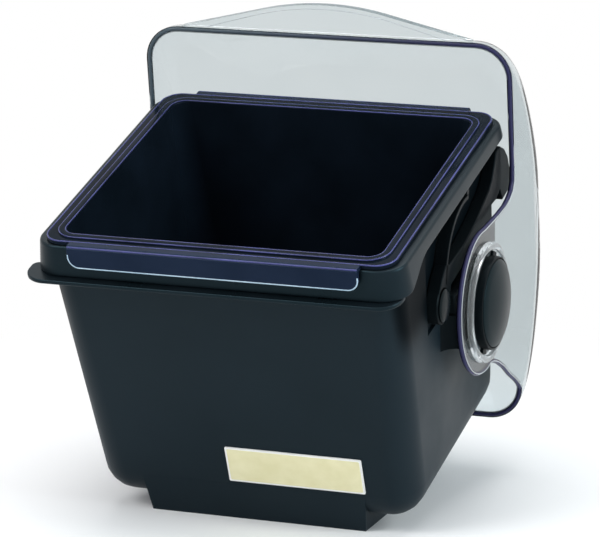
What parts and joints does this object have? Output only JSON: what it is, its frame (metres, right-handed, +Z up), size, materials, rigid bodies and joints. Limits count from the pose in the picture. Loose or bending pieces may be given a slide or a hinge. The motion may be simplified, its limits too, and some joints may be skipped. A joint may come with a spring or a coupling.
{
  "type": "garnish tray",
  "caption": "Leaning black ice tub on a wedge foot with a smoky lift-out tray, spring catch levers under the rim and a clear domed lid that flips back on side knobs.",
  "frame": {"origin": "centre of the foot's flat face on the ground", "axes": "+Z up; +X to the right of a user who faces the front; -Y towards the user; the tub leans towards -Y"},
  "size_m": [0.1524, 0.1583, 0.1719],
  "materials": {
    "black_plastic": "satin moulded",
    "smoke_plastic": "translucent smoke",
    "clear_plastic": "clear, faint violet edge tint",
    "label_stock": "printed film, left blank"
  },
  "bodies": {
    "base": {"base_tub": "black_plastic", "foot_wedge": "black_plastic", "pivot_knob_left": "black_plastic", "pivot_knob_right": "black_plastic", "lever_pin_left": "black_plastic", "lever_pin_right": "black_plastic", "label_plate": "label_stock"},
    "tray": {"insert_tray": "smoke_plastic"},
    "lid": {"dome_lid": "clear_plastic"},
    "lever_left": {"catch_lever_left": "black_plastic"},
    "lever_right": {"catch_lever_right": "black_plastic"}
  },
  "joints": [
    {"name": "lid_hinge", "type": "hinge", "parent": "base", "child": "lid", "pos_m": [0, 0.00152, 0.07455], "axis": [1, 0, 0], "range_deg": [0, 98]},
    {"name": "tray_lift", "type": "slide", "parent": "base", "child": "tray", "axis": [0, -0.2723, 0.9622], "range_m": [0, 0.003]},
    {"name": "lever_left_swing", "type": "hinge", "parent": "base", "child": "lever_left", "pos_m": [-0.0635, -0.03376, 0.08098], "axis": [1, 0, 0], "range_deg": [-3, 0], "stiffness_Nm_per_rad": 0.5, "springref_deg": 2.86},
    {"name": "lever_right_swing", "type": "hinge", "parent": "base", "child": "lever_right", "pos_m": [0.0635, -0.03376, 0.08098], "axis": [1, 0, 0], "range_deg": [-3, 0], "stiffness_Nm_per_rad": 0.5, "springref_deg": 2.86}
  ]
}
